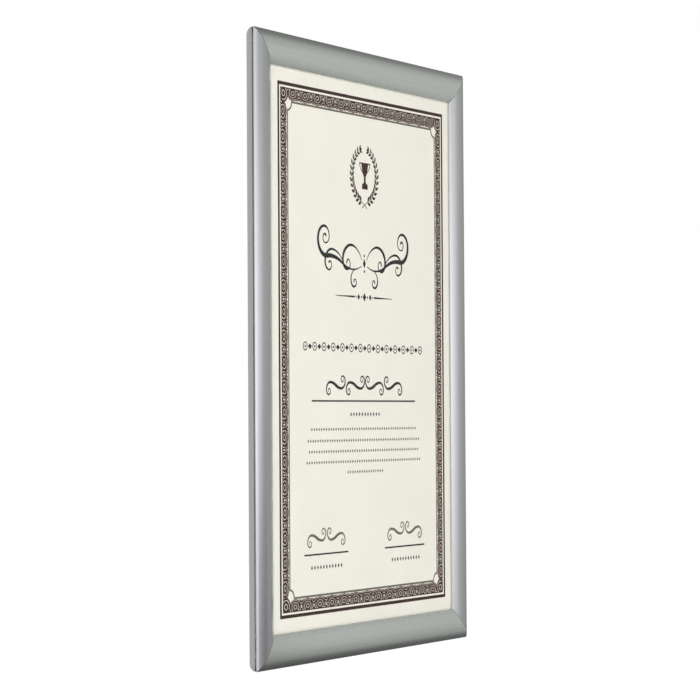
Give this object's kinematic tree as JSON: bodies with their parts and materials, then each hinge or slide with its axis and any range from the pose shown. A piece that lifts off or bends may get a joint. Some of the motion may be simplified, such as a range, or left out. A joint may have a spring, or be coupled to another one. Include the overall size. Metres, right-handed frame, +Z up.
{
  "type": "snap frame",
  "caption": "Flat wall frame for a portrait sheet: mitred satin aluminium rails whose curved covers hinge outward on springs to change the print behind a clear sheet.",
  "frame": {"origin": "on the wall face of the top base rail, at the middle of its length, on the line of its wall screw holes", "axes": "+Z up along the frame's height, +X to the right as seen from the front, +Y into the wall, so the print faces -Y"},
  "size_m": [0.328, 0.0132, 0.451],
  "materials": {
    "base_rails": "satin",
    "snap_profiles": "satin",
    "leaf_springs": "satin",
    "corner_keys": "satin",
    "key_screws": "matte",
    "back_panel": "matte",
    "print_sheet": "matte",
    "clear_cover": "satin"
  },
  "bodies": {
    "frame": {"base_rail_bottom": "base_rails", "base_rail_right": "base_rails", "base_rail_top": "base_rails", "base_rail_left": "base_rails", "corner_key_bottom_left": "corner_keys", "corner_key_bottom_right": "corner_keys", "corner_key_top_right": "corner_keys", "corner_key_top_left": "corner_keys", "key_screw_bottom_left_1": "key_screws", "key_screw_bottom_left_2": "key_screws", "key_screw_bottom_right_1": "key_screws", "key_screw_bottom_right_2": "key_screws", "key_screw_top_right_1": "key_screws", "key_screw_top_right_2": "key_screws", "key_screw_top_left_1": "key_screws", "key_screw_top_left_2": "key_screws", "back_panel": "back_panel", "print_sheet": "print_sheet", "clear_cover_sheet": "clear_cover"},
    "profile_bottom": {"snap_profile_bottom": "snap_profiles"},
    "profile_right": {"snap_profile_right": "snap_profiles"},
    "profile_top": {"snap_profile_top": "snap_profiles"},
    "profile_left": {"snap_profile_left": "snap_profiles"},
    "springs_bottom": {"leaf_spring_bottom_1": "leaf_springs", "leaf_spring_bottom_2": "leaf_springs"},
    "springs_right": {"leaf_spring_right_1": "leaf_springs", "leaf_spring_right_2": "leaf_springs", "leaf_spring_right_3": "leaf_springs"},
    "springs_top": {"leaf_spring_top_1": "leaf_springs", "leaf_spring_top_2": "leaf_springs"},
    "springs_left": {"leaf_spring_left_1": "leaf_springs", "leaf_spring_left_2": "leaf_springs", "leaf_spring_left_3": "leaf_springs"}
  },
  "joints": [
    {"name": "open_bottom", "type": "hinge", "parent": "frame", "child": "profile_bottom", "pos_m": [0, -0.00795, -0.43805], "axis": [1, 0, 0], "range_deg": [0, 70], "deforming": ["leaf_spring_bottom_1", "leaf_spring_bottom_2"]},
    {"name": "open_right", "type": "hinge", "parent": "frame", "child": "profile_right", "pos_m": [0.16155, -0.00795, -0.215], "axis": [0, 0, 1], "range_deg": [0, 70], "deforming": ["leaf_spring_right_1", "leaf_spring_right_2", "leaf_spring_right_3"]},
    {"name": "open_top", "type": "hinge", "parent": "frame", "child": "profile_top", "pos_m": [0, -0.00795, 0.00805], "axis": [-1, 0, 0], "range_deg": [0, 70], "deforming": ["leaf_spring_top_1", "leaf_spring_top_2"]},
    {"name": "open_left", "type": "hinge", "parent": "frame", "child": "profile_left", "pos_m": [-0.16155, -0.00795, -0.215], "axis": [0, 0, -1], "range_deg": [0, 70], "deforming": ["leaf_spring_left_1", "leaf_spring_left_2", "leaf_spring_left_3"]},
    {"name": "spring_rock_bottom", "type": "hinge", "parent": "frame", "child": "springs_bottom", "pos_m": [0, -0.00886, -0.427], "axis": [1, 0, 0], "range_deg": [-36, 0]},
    {"name": "spring_rock_right", "type": "hinge", "parent": "frame", "child": "springs_right", "pos_m": [0.1505, -0.00886, -0.215], "axis": [0, 0, 1], "range_deg": [-36, 0]},
    {"name": "spring_rock_top", "type": "hinge", "parent": "frame", "child": "springs_top", "pos_m": [0, -0.00886, -0.003], "axis": [-1, 0, 0], "range_deg": [-36, 0]},
    {"name": "spring_rock_left", "type": "hinge", "parent": "frame", "child": "springs_left", "pos_m": [-0.1505, -0.00886, -0.215], "axis": [0, 0, -1], "range_deg": [-36, 0]}
  ],
  "couplings": [
    {"joint": "spring_rock_bottom", "follows": "open_bottom", "ratio": -0.4949},
    {"joint": "spring_rock_right", "follows": "open_right", "ratio": -0.4949},
    {"joint": "spring_rock_top", "follows": "open_top", "ratio": -0.4949},
    {"joint": "spring_rock_left", "follows": "open_left", "ratio": -0.4949}
  ]
}
